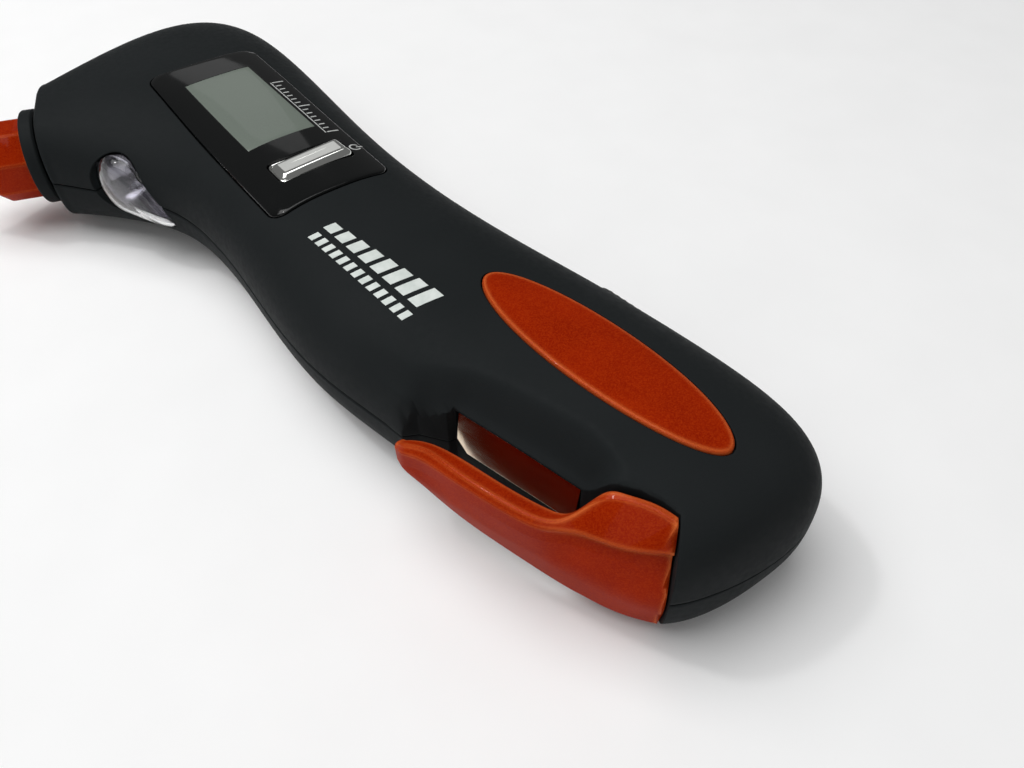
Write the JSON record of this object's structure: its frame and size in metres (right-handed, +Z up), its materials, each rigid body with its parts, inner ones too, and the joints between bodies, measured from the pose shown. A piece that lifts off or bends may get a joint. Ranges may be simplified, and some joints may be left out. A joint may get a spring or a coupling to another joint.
{
  "type": "digital tyre pressure gauge",
  "caption": "Handheld digital tyre pressure gauge with a display, torch, emergency hammer nose and belt cutter in a curved black handle.",
  "frame": {"origin": "under the middle of the gauge's box, on the flat underside it rests on", "axes": "+X along the handle to its tail, away from the hammer; +Y to the side away from the belt cutter; +Z up through the display"},
  "size_m": [0.1818, 0.0748, 0.0289],
  "materials": {
    "soft_black_plastic": "soft-touch matt, fine grain",
    "gloss_black_plastic": "gloss",
    "lcd_face": "grey-green, satin",
    "chrome_plate": "polished",
    "orange_metallic": "metallic lacquer",
    "steel": "ground and polished",
    "brass": "turned",
    "black_rubber": "matt",
    "clear_plastic": "clear, polished",
    "circuit_board": "solder mask",
    "black_component": "moulded",
    "cell_jacket": "foil jacket"
  },
  "bodies": {
    "case": {"upper_shell": "soft_black_plastic", "lower_shell": "soft_black_plastic", "hammer_collar": "soft_black_plastic", "display_window": "gloss_black_plastic", "lcd_module": "lcd_face", "torch_reflector": "chrome_plate", "grip_inlay": "orange_metallic", "hammer_nose": "orange_metallic", "cutter_frame": "orange_metallic", "hammer_point": "steel", "cutter_blade": "steel", "battery_spring_1": "steel", "battery_spring_2": "steel", "head_contact": "steel", "tail_contact": "steel", "case_screw_1": "steel", "case_screw_2": "steel", "case_screw_3": "steel", "case_screw_4": "steel", "pressure_sensor": "steel", "valve_nozzle": "brass", "valve_pin": "brass", "nozzle_seal": "black_rubber", "sensor_hose": "black_rubber", "torch_lens": "clear_plastic", "torch_led": "clear_plastic", "main_board": "circuit_board", "torch_board": "circuit_board", "gauge_chip": "black_component", "power_switch": "black_component", "torch_switch": "black_component", "battery_1": "cell_jacket", "battery_2": "cell_jacket"},
    "power_key": {"power_button": "chrome_plate", "power_switch_plunger": "black_component"},
    "torch_key": {"torch_button": "black_rubber", "torch_switch_plunger": "black_component"},
    "door": {"battery_door": "soft_black_plastic"}
  },
  "joints": [
    {"name": "power_button_press", "type": "slide", "parent": "case", "child": "power_key", "axis": [0, 0, -1], "range_m": [0, 0.0005], "stiffness_N_per_m": 1500},
    {"name": "torch_button_press", "type": "slide", "parent": "case", "child": "torch_key", "axis": [0, -0.9272, -0.3746], "range_m": [0, 0.0006], "stiffness_N_per_m": 1500},
    {"name": "battery_door_hinge", "type": "hinge", "parent": "case", "child": "door", "pos_m": [0.00995, 0.01353, 0.0002], "axis": [0, 1, 0], "range_deg": [0, 100]}
  ]
}
